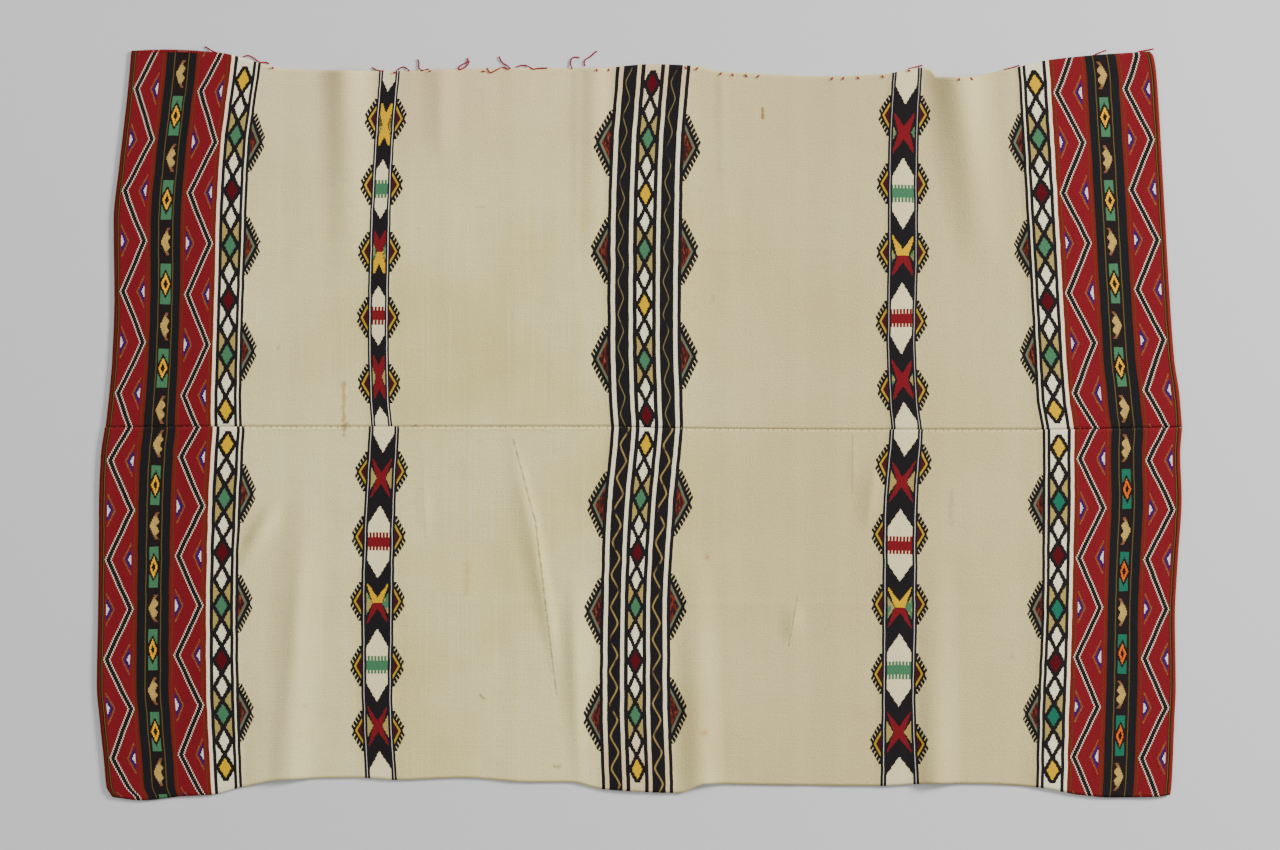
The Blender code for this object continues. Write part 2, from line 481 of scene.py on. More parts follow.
class Cloth:
    """A wool material while it is being made, with the places that its figures read."""

    def __init__(self, name):
        self.material = bpy.data.materials.new(name)
        self.material.use_nodes = True
        self.tree = self.material.node_tree
        self.shader = self.tree.nodes["Principled BSDF"]
        self.place = self.tree.nodes.new("ShaderNodeTexCoord").outputs["Object"]
        apart = self.tree.nodes.new("ShaderNodeSeparateXYZ")
        self.tree.links.new(self.place, apart.inputs[0])
        self.along = Reading(apart.outputs["X"]) * (1 / MM)
        self.height = Reading(apart.outputs["Y"]) * (1 / MM)
        drawn = self.tree.nodes.new("ShaderNodeUVMap")
        drawn.uv_map = "weave"
        parts = self.tree.nodes.new("ShaderNodeSeparateXYZ")
        self.tree.links.new(drawn.outputs[0], parts.inputs[0])
        # Woven lines wander by about a millimetre, and the wefts drift by a little more
        wander = (self.noise((9, 40, 0), 2) - 0.5) * 1.8
        self.line = Reading(parts.outputs["X"]) + wander
        self.across = self.line.stepped(STEP_ACROSS)
        drift = (self.noise((30, 14, 0), 2) - 0.5) * 3.0
        self.up = (Reading(parts.outputs["Y"]) + drift).stepped(STEP_UP)
        self.tick = (self.up / STEP_UP).worked("FLOOR").odd()

    def noise(self, scale, detail, roughness=0.5):
        """Smooth random unevenness between 0 and 1, stretched by its scale along each axis."""
        turned = self.tree.nodes.new("ShaderNodeMapping")
        turned.inputs["Scale"].default_value = scale
        self.tree.links.new(self.place, turned.inputs["Vector"])
        cloud = self.tree.nodes.new("ShaderNodeTexNoise")
        cloud.inputs["Scale"].default_value = 1.0
        cloud.inputs["Detail"].default_value = detail
        cloud.inputs["Roughness"].default_value = roughness
        self.tree.links.new(turned.outputs[0], cloud.inputs["Vector"])
        return Reading(cloud.outputs["Fac"])

    def finish(self, colour, relief, variation=0.22):
        """Yarn unevenness, woven relief and wool's dull sheen over the colours."""
        yarn = self.noise((900, 260, 0), 2) * 0.6 + self.noise((60, 700, 0), 2) * 0.4
        shade = (yarn - 0.5) * (2.0 * variation) + 1.0
        tone = self.tree.nodes.new("ShaderNodeHueSaturation")
        self.tree.links.new(shade.socket, tone.inputs["Value"])
        self.tree.links.new(colour, tone.inputs["Color"])
        self.tree.links.new(tone.outputs[0], self.shader.inputs["Base Color"])
        weft = (self.along.bounce(0.55) / 0.55) * (self.height.bounce(1.1) / 1.1)
        woolly = self.noise((330, 330, 0), 3, 0.6)
        bump = self.tree.nodes.new("ShaderNodeBump")
        bump.inputs["Distance"].default_value = MM
        height = weft * 0.12 + woolly * 0.55 + relief
        self.tree.links.new(height.socket, bump.inputs["Height"])
        self.tree.links.new(bump.outputs[0], self.shader.inputs["Normal"])
        self.shader.inputs["Roughness"].default_value = 0.92
        self.shader.inputs["Specular IOR Level"].default_value = 0.06
        return self.material


# Marks of age on the ground, and soil with painted shade along the creases: from and to, along and
# up, then half width, strength and colour
BROWN_MARK = dye(128, 96, 50)
GREY_MARK = dye(150, 142, 118)
CREASE_SOIL_AND_SHADE = dye(132, 118, 88)
RED_MARK = dye(196, 70, 60)
YELLOW_MARK = dye(196, 170, 96)
MARKS = (
    ((-396, 58), (-396, -13), 3.5, 0.5, BROWN_MARK),
    ((-393, 1), (-393, 1), 7, 0.5, BROWN_MARK),
    ((-484, 103), (-484, 103), 3.5, 0.4, BROWN_MARK),
    ((-446, -375), (-446, -375), 4, 0.35, GREY_MARK),
    ((164, 424), (165, 411), 2.2, 0.8, BROWN_MARK),
    ((98, 172), (98, 166), 4, 0.35, GREY_MARK),
    ((86, -413), (87, -411), 4.5, 0.55, dye(190, 120, 50)),
    ((-113, -457), (-108, -457), 3.5, 0.5, BROWN_MARK),
    ((90, -177), (91, -177), 3.5, 0.6, RED_MARK),
    ((-213, -362), (-209, -366), 2.5, 0.6, BROWN_MARK),
    ((-219, 292), (-208, 292), 1.6, 0.3, BROWN_MARK),
    ((-231, -186), (-231, -224), 5, 0.5, YELLOW_MARK),
    ((417, -92), (418, -136), 5, 0.35, GREY_MARK),
    ((499, -311), (499, -309), 4, 0.35, GREY_MARK),
    ((-301, -1), (-299, -1), 2.5, 0.6, dye(70, 60, 50)),
    ((-346, -17), (-346, -17), 4, 0.4, GREY_MARK),
    # Crease lines: soil and painted shade darken the ground along the creases
    ((321, -30), (303, -149), 1.3, 0.7, CREASE_SOIL_AND_SHADE),
    ((285, -12), (285, -91), 1.1, 0.5, CREASE_SOIL_AND_SHADE),
    ((-287, -150), (-291, -60), 1.5, 0.3, GREY_MARK),
    ((-520, -7), (-60, -7), 0.8, 0.3, GREY_MARK),
    ((60, 3), (520, 2.5), 0.8, 0.3, GREY_MARK),
    # More crease lines, darkened by soil and painted shade
    ((211, -230), (200, -296), 1.2, 0.6, CREASE_SOIL_AND_SHADE),
    ((-169, -20), (-139, -131), 1.5, 0.75, CREASE_SOIL_AND_SHADE),
    ((-139, -131), (-125, -247), 1.5, 0.75, CREASE_SOIL_AND_SHADE),
    ((-125, -247), (-111, -360), 1.4, 0.6, CREASE_SOIL_AND_SHADE),
)


def plain_ground(cloth):
    """The cream ground: clouded, streaked by its threads, warmer towards its edges, and with
    painted shade over its right part.
    """
    clouds = cloth.noise((4, 5, 0), 3)
    colour = over(CREAM, clouds.eased(0.35, 0.7), DEEP_CREAM)
    threads = cloth.noise((14, 900, 0), 2).eased(0.42, 0.75)
    colour = over(colour, threads * 0.3, dye(196, 178, 136))
    wefts = cloth.noise((520, 5, 0), 2).eased(0.45, 0.8)
    colour = over(colour, wefts * 0.22, dye(238, 228, 194))
    rosy = cloth.height.eased(250, 460) * (clouds + 0.15)
    colour = over(colour, rosy * 0.85, dye(212, 188, 146))
    paler = (cloth.along * -1.0).eased(300, 520)
    colour = over(colour, paler * 0.25, dye(230, 217, 170))
    # Painted shade: the ground is darker over its right part
    painted_shade_right = cloth.along.eased(-50, 220)
    colour = over(colour, painted_shade_right * 0.7, dye(194, 177, 126))
    specks = cloth.noise((130, 170, 0), 1).eased(0.76, 0.82)
    return over(colour, specks * 0.35, dye(132, 104, 66))


def aged_ground(cloth):
    """The open ground with its stains, thick places in the yarn, and creases darkened by soil and
    painted shade.
    """
    colour = plain_ground(cloth)
    blur = (cloth.noise((190, 120, 0), 3, 0.6) - 0.42) * 3.2
    for (along, height), (to_along, to_height), half_width, strength, wool in MARKS:
        run_along, run_height = to_along - along, to_height - height
        off_along, off_height = cloth.along - along, cloth.height - height
        length = max(run_along**2 + run_height**2, 1)
        share = (off_along * (run_along / length) + off_height * (run_height / length))
        share = share.at_least(0.0).at_most(1.0)
        off_along, off_height = off_along - share * run_along, off_height - share * run_height
        off = (off_along * off_along + off_height * off_height) * (1.0 / half_width**2)
        spread = off.worked("POWER", 0.5) + blur
        colour = over(colour, (1.0 - spread.eased(0.2, 1.6)) * strength, wool)
    return colour


def ground_wool(name):
    """The plain ground between the bands."""
    cloth = Cloth(name)
    return cloth.finish(aged_ground(cloth), cloth.noise((30, 260, 0), 2) * 0.2, 0.1)


TOOTH_LEAN = 1.6
TOOTH_SHARE = 0.78


def toothed_figures(cloth, colour, out, places, size, inner_line, core):
    """Half lozenges on a band's outer side, with teeth that lean away from their middles."""
    half_height, depth, tooth_length = size["half_height"], size["depth"], size["tooth_length"]
    turn = (places["toothed_first"] - cloth.up) / places["toothed_pitch"]
    which = turn.nearest().at_least(0.0).at_most(size["count"] - 1.0)
    away = abs(turn - which) * places["toothed_pitch"]
    inside = (1.0 - away / half_height) * depth - out
    stretch = 1 + TOOTH_LEAN * depth / half_height
    tooth = (away - out * TOOTH_LEAN).share_of(size["pitch"] * stretch) < TOOTH_SHARE
    rooted = (away + inside * (TOOTH_LEAN / stretch)) > 0.0
    outside = (out > 0.0) & (away < half_height + tooth_length)
    colour = over(colour, inside.between(-tooth_length, 0.2) & tooth & outside & rooted, BLACK_WOOL)
    colour = over(colour, (inside > tooth_length * -0.18) & outside, BLACK_WOOL)
    colour = over(colour, (inside > size["edge"]) & outside, inner_line)
    return over(colour, (inside > size["edge"] + size["line_width"]) & outside, core)


def mottled_core(cloth):
    """Red and brown wefts mixed, with a few pale ones, in the middle of a toothed figure."""
    flecks = cloth.noise((420, 110, 0), 1)
    colour = over(dye(52, 26, 25), flecks.eased(0.47, 0.6), dye(110, 42, 29))
    return over(colour, flecks.eased(0.68, 0.76), dye(124, 92, 72))


LAST_LOZENGE = 12
# How far out a lozenge's dyed heart and its black outline reach, as shares of the column
LOZENGE_HEART = 0.672
LOZENGE_OUTLINE = 1.175


def lozenge_column(cloth, colour, sides, places, wools):
    """A chain of lozenges between two lines: dyed ones in turn with white ones."""
    ends, middles, leaf, pale = wools
    start, end = sides
    half = (end - start) / 2
    turn = (places["lozenge_first"] - cloth.up) / places["lozenge_pitch"]
    which = turn.nearest()
    white = which.odd()
    off = abs(cloth.across - start - half) / half
    spread = off * 0.95 + abs(turn - which) * 1.78
    inner = spread + off * white * 0.16
    pair = (turn / 2.0).nearest()
    leafy = pair.odd()
    dyed = over(middles, abs(pair - LAST_LOZENGE / 4) > LAST_LOZENGE / 4 - 0.5, ends)
    dyed = over(dyed, leafy, leaf)
    dyed = over(dyed, white, pale)
    beside = over(pale, leafy, KHAKI)
    chain = turn.between(-0.5, LAST_LOZENGE + 0.5)
    figure = over(beside, chain & (spread < LOZENGE_OUTLINE), BLACK_WOOL)
    figure = over(figure, chain & (inner < LOZENGE_HEART), dyed)
    return over(colour, cloth.line.between(start, end), figure)


def striped(cloth, colour, stripes):
    """Stripes along a band, each from its start to the next one's."""
    for start, wool in stripes:
        colour = over(colour, cloth.line > start, wool)
    return colour


# A border's stripes, measured from the cloth's end inwards
BORDER_LOZENGES = (147.9, 169.8)
BORDER_STRIPES = (
    (0, RUST), (4.3, UMBER), (5.8, OLIVE), (7, UMBER), (7.9, MADDER), (45.2, RUST_OLIVE),
    (46.5, RUST), (50, BLUE_BLACK), (60.5, OLIVE), (61.7, BROWN_BLACK), (79.8, OLIVE),
    (81, BLUE_BLACK), (91, RUST), (94.4, RUST_OLIVE), (95.6, MADDER), (133.4, RUST_OLIVE),
    (134.7, RUST), (139, ROSY_WHITE), (143.4, BLACK_WOOL), (147.9, WHITE_WOOL),
    (169.8, BLACK_WOOL), (173.9, WHITE_WOOL), (176.2, BLACK_WOOL),
)
# Each red field: where its zigzag swings from and to, and the base and tip of its eyes
RED_FIELDS = (
    {"swing": (12, 41.5), "eyes": ((8.3, 21.3), (43.9, 30.8)), "lag": 0},
    {"swing": (101.5, 131.3), "eyes": ((97.2, 110), (133.4, 120.8)), "lag": 1},
)
ZIGZAG_EDGE = 3.6
ZIGZAG_CORE = 2.55
EYE_HALF_HEIGHT = 27.5
EYE_BASE = 0.13
# How far out each wool of an eye reaches, from its outline inwards
EYE_RINGS = ((1.0, TAN_LINE), (0.88, MADDER), (0.74, INDIGO), (0.47, PALE_LILAC))


def zigzag_field(cloth, colour, field, swing, span):
    """A black zigzag with ticked white edges in a red field, and an eye in each bay."""
    outer, inner = field["swing"]
    path = swing * ((inner - outer) / span) + outer
    off = abs(cloth.line - path) - cloth.tick
    for (base, tip), away in zip(field["eyes"], (span - swing, swing)):
        depth = (cloth.across - base) * (1 / (tip - base))
        eye = away / EYE_HALF_HEIGHT + depth
        for reach, wool in EYE_RINGS:
            colour = over(colour, (eye < reach) & (depth > EYE_BASE), wool)
    colour = over(colour, off < ZIGZAG_EDGE, ROSY_WHITE)
    return over(colour, off < ZIGZAG_CORE, BLACK_WOOL)


# The sand figures and tiles of the border's black band, as measured across the border
SAND_BASE = 78.0
SAND_DEPTH = 13.6
SAND_HALF_HEIGHT = 18.5
NOTCH_DEPTH = 4.8
NOTCH_SPAN = 6.3
TILE_MIDDLE = 70.7
TILE_HALF_HEIGHT = 26.8


def black_band_figures(cloth, colour, places, ring, leaf):
    """In the border's black band: a toothed sand figure in turn with a green tile and its ring."""
    turn = (places["sand_first"] - cloth.up) / places["sand_pitch"]
    sand_away = abs(turn - turn.nearest()) * places["sand_pitch"]
    tile_away = places["sand_pitch"] / 2 - sand_away
    from_base = SAND_BASE - cloth.across
    notch = NOTCH_DEPTH - sand_away.bounce(NOTCH_SPAN) * 0.62
    sand = (from_base < SAND_DEPTH - sand_away * 0.44) & (from_base > notch)
    worn = cloth.noise((160, 90, 0), 2).eased(0.4, 0.65)
    sandy = over(dye(182, 148, 76), worn * 0.5, dye(150, 122, 74))
    sandy = over(sandy, sand_away.eased(8.5, 17.0) * 0.9, dye(104, 58, 44))
    colour = over(colour, sand & (sand_away < SAND_HALF_HEIGHT), sandy)
    off = abs(cloth.across - TILE_MIDDLE)
    wide = places["tile_width"]
    tile = (off < wide) & (tile_away < TILE_HALF_HEIGHT)
    colour = over(colour, tile, leaf)
    rings = (
        (19.6, wide + 3.7, BROWN_BLACK), (14.3, wide - 0.5, ring), (7.2, wide / 2, BROWN_BLACK),
    )
    for half_height, half_width, wool in rings:
        ringed = (off / half_width + tile_away / half_height) < 1.0
        colour = over(colour, ringed & (off < wide + 0.7), wool)
    return colour


BORDER_TEETH = {
    "count": 3, "half_height": 32, "depth": 15.5, "pitch": 5.0, "tooth_length": 7.2,
    "edge": 3.3, "line_width": 3.2,
}


def border_wool(name, places, leaf, ring):
    """A border of the cloth, from its end inwards to the toothed figures."""
    cloth = Cloth(name)
    colour = striped(cloth, BROWN_BLACK, BORDER_STRIPES)
    span = places["zigzag_pitch"] / 2
    for field in RED_FIELDS:
        first = places["zigzag_first"] - field["lag"] * places["inner_lag"]
        swing = (cloth.up - first).bounce(span)
        colour = zigzag_field(cloth, colour, field, swing, span)
    colour = black_band_figures(cloth, colour, places, ring, leaf)
    colour = lozenge_column(
        cloth, colour, BORDER_LOZENGES, places, (YELLOW, DARK_MADDER, leaf, WHITE_WOOL)
    )
    out = cloth.line - BORDER_WIDTH
    colour = over(colour, out > 0.0, plain_ground(cloth))
    colour = toothed_figures(
        cloth, colour, out, places, BORDER_TEETH, SAGE_LINE, mottled_core(cloth)
    )
    return cloth.finish(colour, (out < 0.0) * 0.3)


MIDDLE_LOZENGES = (39.1, 59.3)
# Where each black stripe starts and ends
MIDDLE_BLACKS = ((0, 4.7), (10.3, 28.5), (33.6, 39.1), (59.3, 64.6), (69.5, 87.7), (93.1, 98))
MIDDLE_TEETH = {**BORDER_TEETH, "half_height": 37.5, "depth": 18.5, "pitch": 5.6}


def middle_wool(name, places, ends, middles, waver):
    """The middle band: lozenges between white lines and black stripes, toothed on both sides."""
    cloth = Cloth(name)
    pale = over(WHITE_WOOL, abs(cloth.height).eased(380, 460) * 0.8, TANNED_WHITE)
    colour = pale
    for start, end in MIDDLE_BLACKS:
        colour = over(colour, cloth.line.between(start, end), BLACK_WOOL)

    # The fine wavering line in each wide black stripe
    span = places["waver_pitch"] / 2
    swing = ((cloth.up - places["waver_first"]).bounce(span) / span).eased(-0.12, 1.12) - 0.5
    worn = cloth.noise((90, 40, 0), 2).eased(0.3, 0.5)
    for middle in waver["middles"]:
        line = abs(cloth.line - middle - swing * waver["swing"])
        colour = over(colour, (line < waver["half_width"]) * worn, waver["wool"])
    colour = lozenge_column(
        cloth, colour, MIDDLE_LOZENGES, places, (ends, middles, GREEN, pale)
    )

    out = abs(cloth.line - MIDDLE_WIDTH / 2) - MIDDLE_WIDTH / 2
    colour = over(colour, out > 0.0, plain_ground(cloth))
    right_side = cloth.line > MIDDLE_WIDTH / 2
    rows = {}
    for key in ("toothed_first", "toothed_pitch"):
        left, right = places[key]
        rows[key] = right_side * (right - left) + left
    colour = toothed_figures(
        cloth, colour, out, rows, MIDDLE_TEETH, SAGE_LINE, mottled_core(cloth)
    )
    return cloth.finish(colour, (out < 0.0) * 0.3)


NARROW_TEETH = {
    "count": 5, "half_height": 20.5, "depth": 11.5, "pitch": 5.1, "tooth_length": 6.6,
    "edge": 1.8, "line_width": 2.8,
}
COMB_HALF_HEIGHT = 6.5
COMB_TOOTH = 5.4
COMB_PITCH = 4.5
COMB_TOOTH_SHARE = 0.68
COMB_REACH = 20.0


def narrow_wool(name, places, figures, combs):
    """A narrow black band: crossed arms in turn with cream ovals that hold a comb each."""
    cloth = Cloth(name)
    half = places["width"] / 2
    field = half - places["line"]
    off = abs(cloth.across - half)
    inwards = off / field
    ground = plain_ground(cloth)

    # Cream ovals, each about its comb; the last ones run off the cloth's edges
    comb_away = cloth.up * 0.0 + 1000.0
    for comb in places["combs"]:
        comb_away = comb_away.at_most(abs(cloth.up - comb))
    oval_half, oval_taper = places["oval"]
    oval = inwards < (oval_half - comb_away) / oval_taper
    pale = over(ground, oval * 0.6, dye(232, 220, 176))
    colour = over(BLACK_WOOL, oval, pale)

    # Crossed arms: the upper pair, the lower pair and the triangles at their sides
    first, second, third = places["crossings"]
    past_first = cloth.up < (first + second) / 2
    past_second = cloth.up < (second + third) / 2
    below = past_first * (first - second) + past_second * (second - third) + cloth.up - first
    away = abs(below)
    upper, lower, side = (
        over(over(one, past_first, two), past_second, three) for one, two, three in zip(*figures)
    )
    reach, notch, inner_slope, waist, outer_slope, side_start, side_slope = places["arms"]
    worn = cloth.noise((200, 60, 0), 2).eased(0.4, 0.6)
    beside = inwards > away * side_slope + side_start
    colour = over(colour, beside & (worn < 0.5), side)
    colour = over(colour, beside & (worn > 0.5), over(side, worn, KHAKI))
    arm = (inwards > (away - notch) * inner_slope) & (away < reach)
    arm = arm & (inwards < (away * outer_slope + waist).at_most(0.96))
    colour = over(colour, arm, over(lower, below > 0.0, upper))

    # The comb in each whole oval
    tooth = cloth.line.share_of(COMB_PITCH) < COMB_TOOTH_SHARE
    comb = comb_away < tooth * COMB_TOOTH + COMB_HALF_HEIGHT
    top, bottom = places["combs"][1], places["combs"][-2]
    whole = cloth.up.between(bottom - COMB_REACH, top + COMB_REACH)
    wool = over(combs[0], cloth.up < second, combs[1])
    colour = over(colour, comb & whole, wool)

    # The paired lines on both sides, with a grey one between them
    line_off = abs(abs(cloth.line - half) - half + places["line"] / 2)
    colour = over(colour, line_off < places["line"] / 2, BLACK_WOOL)
    colour = over(colour, line_off < places["between"], places["between_wool"])
    out = abs(cloth.line - half) - half
    colour = over(colour, out > 0.0, ground)
    colour = toothed_figures(
        cloth, colour, out, places, NARROW_TEETH, dye(176, 142, 30), dye(64, 24, 28)
    )
    return cloth.finish(colour, (out < 0.0) * 0.25)


# Where the figures of the upper panel lie up the cloth
UPPER_PLACES = {
    "left": {
        "zigzag_first": 450.2, "zigzag_pitch": 135.8, "inner_lag": 3.3,
        "sand_first": 470, "sand_pitch": 112.5, "tile_width": 6.7,
        "lozenge_first": 461.5, "lozenge_pitch": 36.8,
        "toothed_first": 379, "toothed_pitch": 140,
    },
    "right": {
        "zigzag_first": 382.6, "zigzag_pitch": 134.3, "inner_lag": 4.4,
        "sand_first": 468, "sand_pitch": 111.5, "tile_width": 6.2,
        "lozenge_first": 456.5, "lozenge_pitch": 36.4,
        "toothed_first": 378, "toothed_pitch": 142.5,
    },
    "middle": {
        "lozenge_first": 457.2, "lozenge_pitch": 37.05,
        "toothed_first": (378.2, 371.5), "toothed_pitch": (145, 139.7),
        "waver_first": 413.5, "waver_pitch": 44.3,
    },
    "narrow_a": {
        "width": 28, "line": 5.8, "between": 0.45, "between_wool": dye(206, 202, 190),
        "crossings": (402.3, 231.8, 64.3), "combs": (486, 316, 146.5, -15),
        "oval": (39.5, 14.5), "arms": (28.4, 15.5, 0.055, 0.42, 0.036, 0.5, 0.042),
        "toothed_first": 410, "toothed_pitch": 88.7,
    },
    "narrow_b": {
        "width": 41, "line": 6.2, "between": 0.42, "between_wool": dye(166, 162, 156),
        "crossings": (391.1, 226.7, 60.7), "combs": (477.5, 310, 143, -17),
        "oval": (48, 25), "arms": (30, 8.5, 0.05, 0.52, 0.02, 0.67, 0.04),
        "toothed_first": 415, "toothed_pitch": 92,
    },
}
# A narrow band's crossed figures from the top: their upper arms, lower arms and side triangles
UPPER_A_FIGURES = ((YELLOW, YELLOW, OLIVE), (MADDER, YELLOW, GREEN), (MADDER, MADDER, KHAKI))
UPPER_B_FIGURES = ((MADDER, MADDER, GREEN), (YELLOW, MADDER, GREEN), (MADDER, MADDER, GREEN))
# The fine wavering line in the middle band's two wide black stripes
UPPER_WAVER = {
    "middles": (17.8, 77.9), "swing": 7.6, "half_width": 0.7, "wool": dye(112, 100, 58),
}

plain_wool = ground_wool("cream_ground")
upper_cloths = (
    plain_wool,
    border_wool("upper_left_border", UPPER_PLACES["left"], GREEN, RING_YELLOW),
    narrow_wool("upper_narrow_a", UPPER_PLACES["narrow_a"], UPPER_A_FIGURES, (GREEN, MADDER)),
    middle_wool("upper_middle", UPPER_PLACES["middle"], DARK_MADDER, YELLOW, UPPER_WAVER),
    narrow_wool("upper_narrow_b", UPPER_PLACES["narrow_b"], UPPER_B_FIGURES, (GREEN, MADDER)),
    border_wool("upper_right_border", UPPER_PLACES["right"], GREEN, RING_YELLOW),
)
upper = woven_panel(
    "woven_panel_upper", UPPER_ENDS, UPPER_LINES, (UPPER_EDGE, SEAM), SEAM_GAP / 2,
    UPPER_WIDTHS, upper_cloths,
)
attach(upper, "root")
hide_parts("panel_upper")

# THE LOWER PANEL
# The second loom width, of the same wool. Its bands were woven a little wider and with a
# greener green and an orange ring at the right, and it carries most of the creases.

LOWER_ENDS = (
    (-4, -716, 726.5), (-40, -721, 724), (-97, -723.5, 726), (-178, -724, 721),
    (-260, -725, 717), (-350, -726.5, 718), (-396, -722.5, 716), (-450, -717, 714),
    (-485, -713.5, 712), (-497, -706, 710),
)
LOWER_EDGE = (
    (-712, -497), (-665, -502.5), (-612, -497), (-574, -495), (-534, -485), (-471, -474),
    (-376, -472), (-325, -475), (-240, -472), (-143, -478), (-94, -478), (-49, -487.5),
    (54, -492.5), (87, -480), (160, -481.5), (324, -483), (395, -479.5), (467, -480.5),
    (533, -485), (589, -495), (630, -498.5), (688, -498), (711, -495),
)
LOWER_LINES = (
    (-6, -528.5, -362.5, -321.5, -38, 58.5, 335, 380, 540),
    (-127, -534.5, -369.5, -327, -48.5, 47.5, 325.5, 372.5, 539.5),
    (-248, -537.5, -373, -329, -52, 41, 325, 372, 538.5),
    (-368, -536, -372, -330.5, -53.5, 41.5, 324, 370, 533.5),
    (-482, -532, -367, -324, -50.5, 45.5, 322.5, 375, 531),
)
LOWER_WIDTHS = {
    LEFT_BORDER: BORDER_WIDTH, NARROW_A: 43.5, MIDDLE: MIDDLE_WIDTH, NARROW_B: 46,
    RIGHT_BORDER: BORDER_WIDTH,
}
LOWER_NARROW = {
    "between": 0.42, "between_wool": dye(196, 192, 182),
    "oval": (48.8, 24.5), "arms": (30, 7.2, 0.047, 0.4, 0.0227, 0.43, 0.038),
}
LOWER_PLACES = {
    "left": {
        "zigzag_first": -47.6, "zigzag_pitch": 132.9, "inner_lag": -5,
        "sand_first": -25.5, "sand_pitch": 110, "tile_width": 5.7,
        "lozenge_first": -26.2, "lozenge_pitch": 36.05,
        "toothed_first": -92.5, "toothed_pitch": 146,
    },
    "right": {
        "zigzag_first": -113.2, "zigzag_pitch": 133, "inner_lag": -1.8,
        "sand_first": -31, "sand_pitch": 110, "tile_width": 5.7,
        "lozenge_first": -30.6, "lozenge_pitch": 36.0,
        "toothed_first": -107, "toothed_pitch": 140,
    },
    "middle": {
        "lozenge_first": -26.3, "lozenge_pitch": 36.2,
        "toothed_first": (-107.3, -103.9), "toothed_pitch": (142.3, 139.3),
        "waver_first": -70.2, "waver_pitch": 43.3,
    },
    "narrow_a": {
        **LOWER_NARROW, "width": 43.5, "line": 7.2,
        "crossings": (-71, -239, -403), "combs": (12, -156.5, -321.3, -484.7),
        "toothed_first": -62.5, "toothed_pitch": 86.8,
    },
    "narrow_b": {
        **LOWER_NARROW, "width": 46, "line": 7.0,
        "crossings": (-76, -244.5, -411.3), "combs": (7.4, -161.2, -328.5, -492.6),
        "toothed_first": -52.5, "toothed_pitch": 93.6,
    },
}
LOWER_FIGURES = ((MADDER, MADDER, KHAKI), (YELLOW, MADDER, GREEN), (MADDER, MADDER, KHAKI))
LOWER_WAVER = {
    "middles": (19.4, 78.6), "swing": 10.8, "half_width": 1.2, "wool": dye(144, 120, 68),
}

lower_cloths = (
    plain_wool,
    border_wool("lower_left_border", LOWER_PLACES["left"], GREEN, RING_YELLOW),
    narrow_wool("lower_narrow_a", LOWER_PLACES["narrow_a"], LOWER_FIGURES, (MADDER, GREEN)),
    middle_wool("lower_middle", LOWER_PLACES["middle"], YELLOW, DARK_MADDER, LOWER_WAVER),
    narrow_wool("lower_narrow_b", LOWER_PLACES["narrow_b"], LOWER_FIGURES, (MADDER, GREEN)),
    border_wool("lower_right_border", LOWER_PLACES["right"], TEAL, ORANGE),
)
lower = woven_panel(
    "woven_panel_lower", LOWER_ENDS, LOWER_LINES, (SEAM, LOWER_EDGE), -SEAM_GAP / 2,
    LOWER_WIDTHS, lower_cloths,
)
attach(lower, "root")
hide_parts("panel_lower")

# THE SEAM
# The two panels lie edge to edge and are sewn together with fine cream thread: short
# slanting stitches over the join, worked from one end of the blanket to the other.

STITCH_PITCH = 9 * MM
STITCH_REACH = 2.6 * MM
STITCH_THREAD = 0.5 * MM
STITCH_WANDER = 1.2 * MM
STITCH_SLANT = 0.45
# The points of a stitch: the share of its reach, and the rise in widths of the thread
STITCH_SHAPE = ((-1, -0.6), (-0.8, 0.5), (0, 0.75), (0.8, 0.5), (1, -0.6))
END_MARGIN = 6
GROUND_RUN = (-528, 538)
GROUND_STEP = 12


def thread_wool(name, light, dark):
    """Twisted thread: two shades that wind round each other, with fuzz."""
    material = bpy.data.materials.new(name)
    material.use_nodes = True
    tree = material.node_tree
    place = tree.nodes.new("ShaderNodeTexCoord").outputs["Object"]
    cloud = tree.nodes.new("ShaderNodeTexNoise")
    cloud.inputs["Scale"].default_value = 900
    cloud.inputs["Detail"].default_value = 2
    tree.links.new(place, cloud.inputs["Vector"])
    colour = over(light, Reading(cloud.outputs["Fac"]).eased(0.35, 0.65), dark)
    shader = tree.nodes["Principled BSDF"]
    tree.links.new(colour, shader.inputs["Base Color"])
    bump = tree.nodes.new("ShaderNodeBump")
    bump.inputs["Distance"].default_value = 0.2 * MM
    tree.links.new(cloud.outputs["Fac"], bump.inputs["Height"])
    tree.links.new(bump.outputs[0], shader.inputs["Normal"])
    shader.inputs["Roughness"].default_value = 0.85
    shader.inputs["Specular IOR Level"].default_value = 0.25
    return material


def thread_piece(name, runs, thickness, material):
    """Lengths of thread, each along its own points, made as one piece."""
    bpy.ops.object.select_all(action="DESELECT")
    bpy.ops.curve.primitive_nurbs_path_add()
    piece = bpy.context.object
    piece.name = piece.data.name = name
    shape = piece.data
    shape.splines.clear()
    for run in runs:
        spline = shape.splines.new("NURBS")
        spline.points.add(len(run) - 1)
        for point, place in zip(spline.points, run):
            point.co = (*place, 1)
        spline.order_u = 3
        spline.use_endpoint_u = True
        spline.resolution_u = 3
    shape.bevel_depth = thickness / 2
    shape.bevel_resolution = 1
    shape.use_fill_caps = True
    shape.materials.append(material)
    bpy.ops.object.convert(target="MESH")
    bpy.ops.object.shade_smooth()
    return piece


def edge_at(table, along):
    """Height of a long edge of the cloth at one place along it."""
    return float(edge_height(table, np.array([along]))[0])


def cloth_top(along, height):
    """The upper face of the cloth at one place."""
    lift = cloth_lift(np.array([along]), np.array([height]))
    return float(lift[0]) + GROUND_THICKNESS


